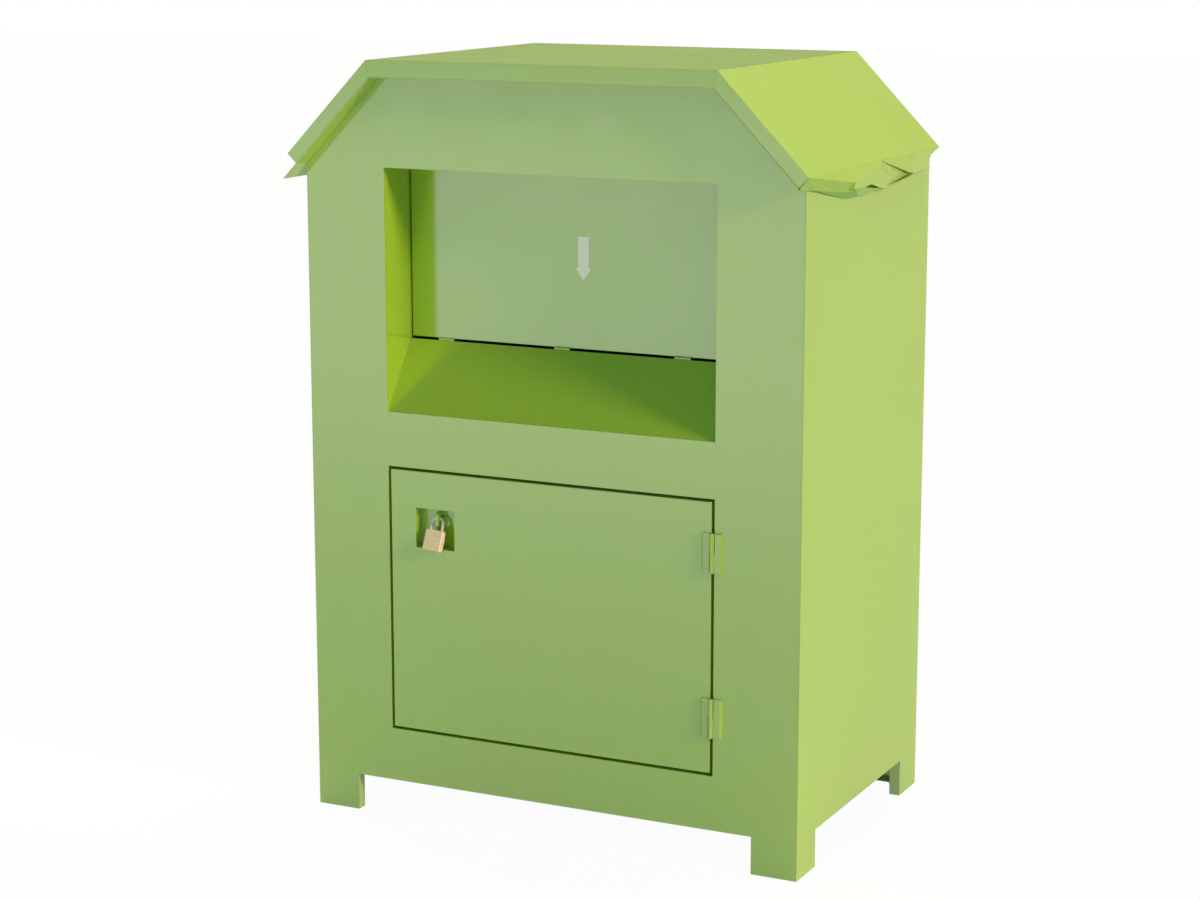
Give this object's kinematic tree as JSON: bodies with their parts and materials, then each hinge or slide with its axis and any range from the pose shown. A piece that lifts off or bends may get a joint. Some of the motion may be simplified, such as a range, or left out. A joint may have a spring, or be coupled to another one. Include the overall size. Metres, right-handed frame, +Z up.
{
  "type": "clothing donation bin",
  "caption": "Floor-standing clothing donation bin: folded steel cabinet on corner feet with a hipped roof, a recessed tipping chute and a padlocked access door",
  "frame": {"origin": "on the floor, under the middle of the whole bin, roof overhang included", "axes": "+Z up; +X to the right across the front as seen from the front; the front with the chute and the door faces -Y"},
  "size_m": [1.2678, 0.796, 1.73],
  "materials": {
    "green_paint": "glossy powder coat",
    "inner_green_paint": "satin powder coat",
    "hinge_green_paint": "glossy powder coat",
    "steel_pin": "zinc plated",
    "lock_brass": "brushed",
    "shackle_chrome": "polished",
    "lock_plug": "polished"
  },
  "bodies": {
    "cabinet": {"front_panel": "green_paint", "front_edge_bars": "green_paint", "rear_panel": "green_paint", "side_panel_left": "green_paint", "side_panel_right": "green_paint", "floor_panel": "green_paint", "corner_post_front_left": "inner_green_paint", "corner_post_front_right": "inner_green_paint", "corner_post_rear_left": "inner_green_paint", "corner_post_rear_right": "inner_green_paint", "foot_plate_front_left": "inner_green_paint", "foot_plate_front_right": "inner_green_paint", "foot_plate_rear_left": "inner_green_paint", "foot_plate_rear_right": "inner_green_paint", "door_frame_head": "inner_green_paint", "door_frame_threshold": "inner_green_paint", "door_frame_jamb_left": "inner_green_paint", "door_frame_jamb_right": "inner_green_paint", "roof_cap_top": "green_paint", "roof_cap_slope_left": "green_paint", "roof_cap_slope_right": "green_paint", "roof_liner_top": "green_paint", "roof_liner_left": "green_paint", "roof_liner_right": "green_paint", "roof_rib_left": "inner_green_paint", "roof_rib_right": "inner_green_paint", "chute_cheek_left": "green_paint", "chute_cheek_right": "green_paint", "chute_sill": "green_paint", "chute_head": "green_paint", "flap_stop_angle": "inner_green_paint", "flap_hinge_1_fixed_leaf": "hinge_green_paint", "flap_hinge_2_fixed_leaf": "hinge_green_paint", "flap_hinge_3_fixed_leaf": "hinge_green_paint", "flap_hinge_1_pin": "steel_pin", "flap_hinge_2_pin": "steel_pin", "flap_hinge_3_pin": "steel_pin", "door_hinge_upper_frame_leaf": "hinge_green_paint", "door_hinge_lower_frame_leaf": "hinge_green_paint", "door_hinge_upper_pin": "steel_pin", "door_hinge_lower_pin": "steel_pin"},
    "flap": {"flap_panel": "green_paint", "hopper_tray": "inner_green_paint", "hopper_wing_left": "inner_green_paint", "hopper_wing_right": "inner_green_paint", "counterweight_bar": "inner_green_paint", "counterweight_bolts": "steel_pin", "flap_hinge_1_moving_leaf": "hinge_green_paint", "flap_hinge_2_moving_leaf": "hinge_green_paint", "flap_hinge_3_moving_leaf": "hinge_green_paint"},
    "door": {"door_panel": "green_paint", "lock_pocket": "green_paint", "lock_lug": "green_paint", "door_stiffener_upper": "inner_green_paint", "door_stiffener_lower": "inner_green_paint", "door_hinge_upper_door_leaf": "hinge_green_paint", "door_hinge_lower_door_leaf": "hinge_green_paint"},
    "shackle": {"padlock_shackle": "shackle_chrome"},
    "padlock": {"padlock_case": "lock_brass"},
    "key": {"padlock_key_plug": "lock_plug"}
  },
  "joints": [
    {"name": "flap_swing", "type": "hinge", "parent": "cabinet", "child": "flap", "pos_m": [0, -0.244, 1.101], "axis": [1, 0, 0], "range_deg": [0, 50]},
    {"name": "door_swing", "type": "hinge", "parent": "cabinet", "child": "door", "pos_m": [0.3975, -0.359, 0.522], "axis": [0, 0, 1], "range_deg": [0, 115]},
    {"name": "padlock_swing", "type": "hinge", "parent": "door", "child": "shackle", "pos_m": [-0.2795, -0.34, 0.712], "axis": [-0.9981, 0.0209, 0.0574], "range_deg": [0, 50]},
    {"name": "padlock_release", "type": "slide", "parent": "shackle", "child": "padlock", "axis": [-0.061, -0.3414, -0.9379], "range_m": [0, 0.012]},
    {"name": "key_turn", "type": "hinge", "parent": "padlock", "child": "key", "pos_m": [-0.28414, -0.36595, 0.64072], "axis": [0.061, 0.3414, 0.9379], "range_deg": [0, 90]}
  ]
}
